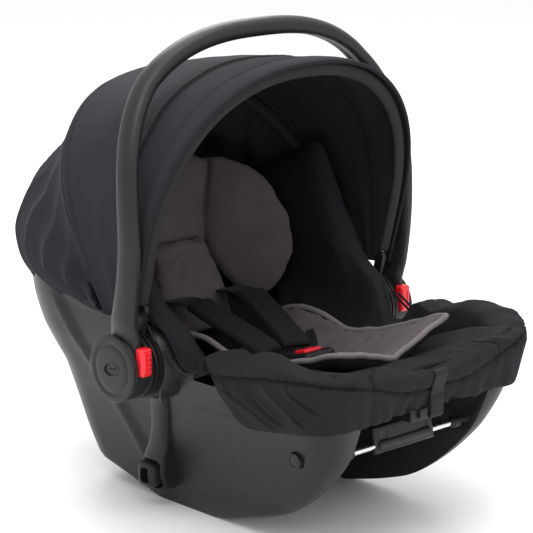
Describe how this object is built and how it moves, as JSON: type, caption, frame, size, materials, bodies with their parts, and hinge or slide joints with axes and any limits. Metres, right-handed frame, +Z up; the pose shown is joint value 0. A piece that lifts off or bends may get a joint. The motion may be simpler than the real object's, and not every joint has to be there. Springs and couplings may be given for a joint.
{
  "type": "infant car seat",
  "caption": "Rear-facing infant carrier: moulded rocker shell, swinging carry handle with buttons, folding canopy, padded cover, insert, head pillow and harness.",
  "frame": {"origin": "floor point midway along the length and the width", "axes": "+Z up, -Y towards the foot end, +X towards the occupant's left, width across X"},
  "size_m": [0.447, 0.6174, 0.557],
  "materials": {
    "shell_plastic": "fine-textured charcoal",
    "handle_plastic": "satin charcoal",
    "dark_plastic": "near-black",
    "red_plastic": "red",
    "steel": "bright steel",
    "black_fabric": "violet-black woven polyester",
    "grey_fabric": "warm grey jersey",
    "webbing": "black polyester webbing",
    "foam": "white expanded foam"
  },
  "bodies": {
    "seat": {"adjuster_housing": "dark_plastic", "adjuster_strap": "webbing", "base_rod": "steel", "buckle_housing": "dark_plastic", "canopy_rear_panel": "black_fabric", "cover_centre_pad": "black_fabric", "crotch_strap": "webbing", "foam_liner": "foam", "guide_plate": "shell_plastic", "head_pillow": "grey_fabric", "insert_back_pad": "grey_fabric", "insert_seat_pad": "grey_fabric", "left_anchor_socket": "dark_plastic", "left_buckle_tongue": "steel", "left_elastic_loop": "webbing", "left_hub_axle": "steel", "left_hub_base": "dark_plastic", "left_lap_strap": "webbing", "left_lock_ring": "dark_plastic", "left_rod_bush": "dark_plastic", "left_screw_cap": "dark_plastic", "left_shoulder_pad": "black_fabric", "left_shoulder_strap": "webbing", "right_anchor_socket": "dark_plastic", "right_buckle_tongue": "steel", "right_elastic_loop": "webbing", "right_hub_axle": "steel", "right_hub_base": "dark_plastic", "right_lap_strap": "webbing", "right_lock_ring": "dark_plastic", "right_rod_bush": "dark_plastic", "right_screw_cap": "dark_plastic", "right_shoulder_pad": "black_fabric", "right_shoulder_strap": "webbing", "seat_cover": "black_fabric", "shell": "shell_plastic", "splitter_plate": "steel", "splitter_strap": "webbing"},
    "handle": {"carry_handle": "handle_plastic", "left_hub_cap": "handle_plastic", "right_hub_cap": "handle_plastic"},
    "left_button": {"left_handle_button": "red_plastic"},
    "right_button": {"right_handle_button": "red_plastic"},
    "canopy_rear": {"canopy_rear_bow": "steel", "canopy_middle_panel": "black_fabric", "left_rear_bracket": "dark_plastic", "right_rear_bracket": "dark_plastic"},
    "canopy_front": {"canopy_front_bow": "steel", "canopy_front_panel": "black_fabric", "left_front_bracket": "dark_plastic", "right_front_bracket": "dark_plastic"},
    "buckle_press": {"buckle_button": "red_plastic"},
    "adjuster_press": {"adjuster_button": "dark_plastic"}
  },
  "joints": [
    {"name": "handle_swing", "type": "hinge", "parent": "seat", "child": "handle", "pos_m": [0, -0.0148, 0.189], "axis": [1, 0, 0], "range_deg": [-112, 45]},
    {"name": "left_button_press", "type": "slide", "parent": "handle", "child": "left_button", "axis": [0, 1, 0], "range_m": [0, 0.004], "stiffness_N_per_m": 600},
    {"name": "right_button_press", "type": "slide", "parent": "handle", "child": "right_button", "axis": [0, 1, 0], "range_m": [0, 0.004], "stiffness_N_per_m": 600},
    {"name": "canopy_fold", "type": "hinge", "parent": "seat", "child": "canopy_rear", "pos_m": [0, -0.0148, 0.189], "axis": [1, 0, 0], "range_deg": [-24, 0]},
    {"name": "canopy_front_fold", "type": "hinge", "parent": "canopy_rear", "child": "canopy_front", "pos_m": [0, -0.0148, 0.189], "axis": [1, 0, 0], "range_deg": [-42, 0]},
    {"name": "buckle_press_slide", "type": "slide", "parent": "seat", "child": "buckle_press", "axis": [0, -0.2419, -0.9703], "range_m": [0, 0.003], "stiffness_N_per_m": 600},
    {"name": "adjuster_press_slide", "type": "slide", "parent": "seat", "child": "adjuster_press", "axis": [0, 1, 0], "range_m": [0, 0.003], "stiffness_N_per_m": 600}
  ],
  "couplings": [
    {"joint": "canopy_front_fold", "follows": "canopy_fold", "ratio": 1.75}
  ]
}
